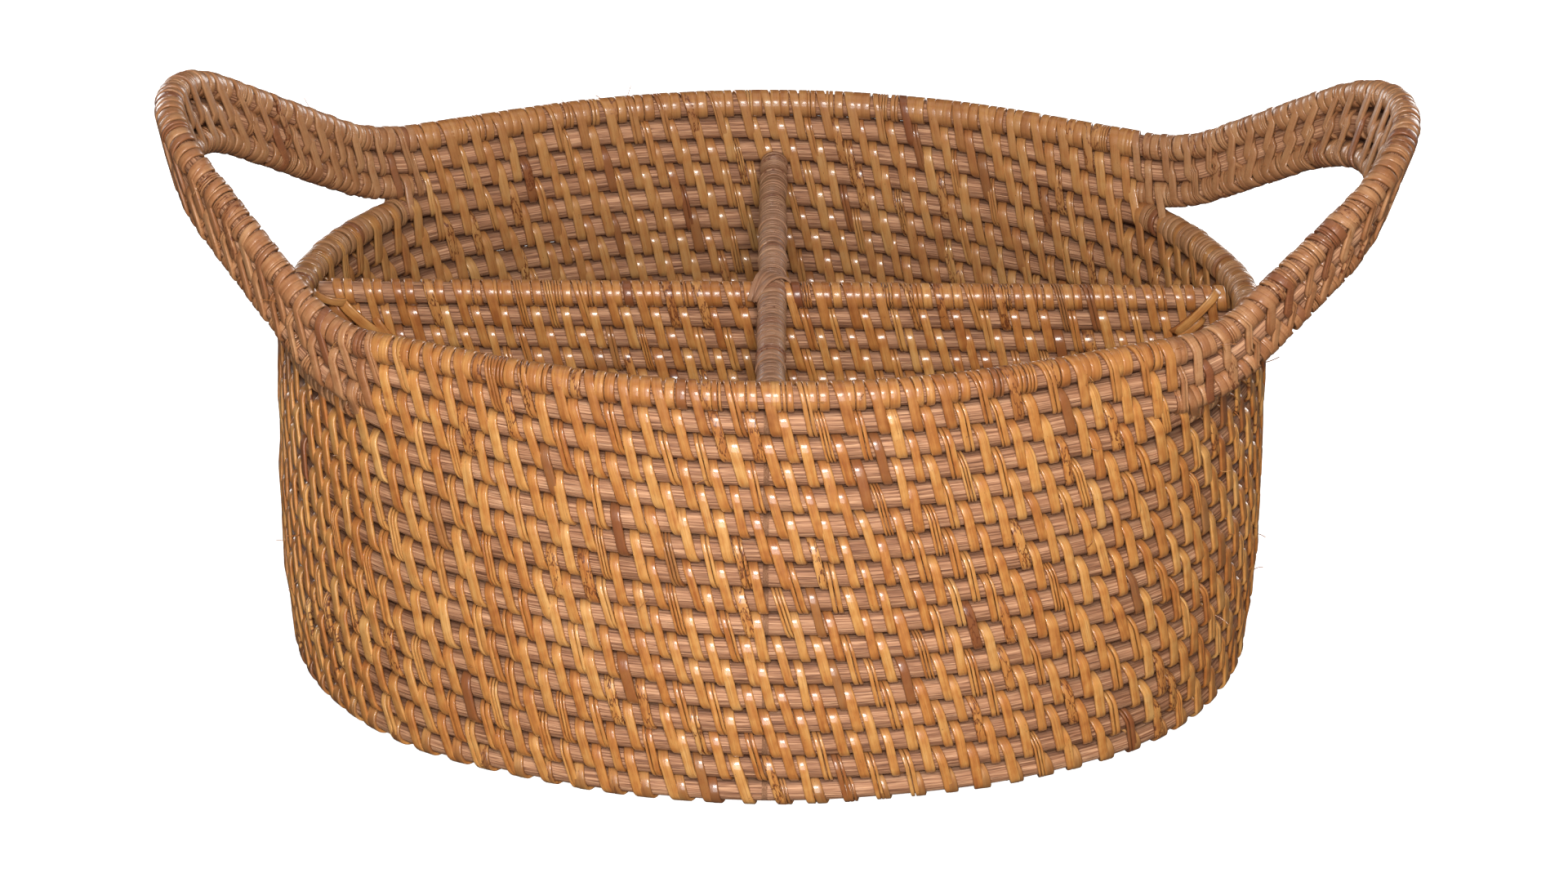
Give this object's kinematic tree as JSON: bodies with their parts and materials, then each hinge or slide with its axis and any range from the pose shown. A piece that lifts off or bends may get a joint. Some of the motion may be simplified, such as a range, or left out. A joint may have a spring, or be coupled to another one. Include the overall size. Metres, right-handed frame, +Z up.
{
  "type": "oval caddy basket with dividers",
  "caption": "Oval open basket of coiled rattan with crossed dividers and a raised loop handle at each end, for carrying and sorting tableware.",
  "frame": {"origin": "on the resting plane, below the middle of the overall length and width", "axes": "+X along the length towards the larger handle, +Y across the width, +Z up"},
  "size_m": [0.3684, 0.2144, 0.1799],
  "materials": {
    "rattan_core": "satin",
    "rattan_peel": "gloss",
    "rattan_lashing": "satin"
  },
  "bodies": {
    "root": {"base_binding_bottom": "rattan_peel", "base_binding_top": "rattan_peel", "base_coil_01": "rattan_core", "base_coil_02": "rattan_core", "base_coil_03": "rattan_core", "base_coil_04": "rattan_core", "base_coil_05": "rattan_core", "base_coil_06": "rattan_core", "base_coil_07": "rattan_core", "base_coil_08": "rattan_core", "base_coil_09": "rattan_core", "base_coil_10": "rattan_core", "base_coil_11": "rattan_core", "base_coil_12": "rattan_core", "base_core_rod": "rattan_core", "cross_divider_back_binding": "rattan_peel", "cross_divider_back_rods": "rattan_core", "cross_divider_front_binding": "rattan_peel", "cross_divider_front_rods": "rattan_core", "crossing_tie": "rattan_lashing", "divider_end_tie_left": "rattan_lashing", "divider_end_tie_right": "rattan_lashing", "handle_binding_left": "rattan_peel", "handle_binding_right": "rattan_peel", "hoop_coil_lower": "rattan_core", "hoop_coil_middle": "rattan_core", "hoop_coil_upper": "rattan_core", "long_divider_binding_back": "rattan_peel", "long_divider_binding_front": "rattan_peel", "long_divider_rods": "rattan_core", "long_divider_top_rod": "rattan_core", "rim_binding_back": "rattan_peel", "rim_binding_front": "rattan_peel", "wall_binding_inner": "rattan_peel", "wall_binding_outer": "rattan_peel", "wall_coil_01": "rattan_core", "wall_coil_02": "rattan_core", "wall_coil_03": "rattan_core", "wall_coil_04": "rattan_core", "wall_coil_05": "rattan_core", "wall_coil_06": "rattan_core", "wall_coil_07": "rattan_core", "wall_coil_08": "rattan_core", "wall_coil_09": "rattan_core", "wall_coil_10": "rattan_core", "wall_coil_11": "rattan_core", "wall_coil_12": "rattan_core", "wall_coil_13": "rattan_core", "wall_coil_14": "rattan_core"}
  },
  "joints": []
}
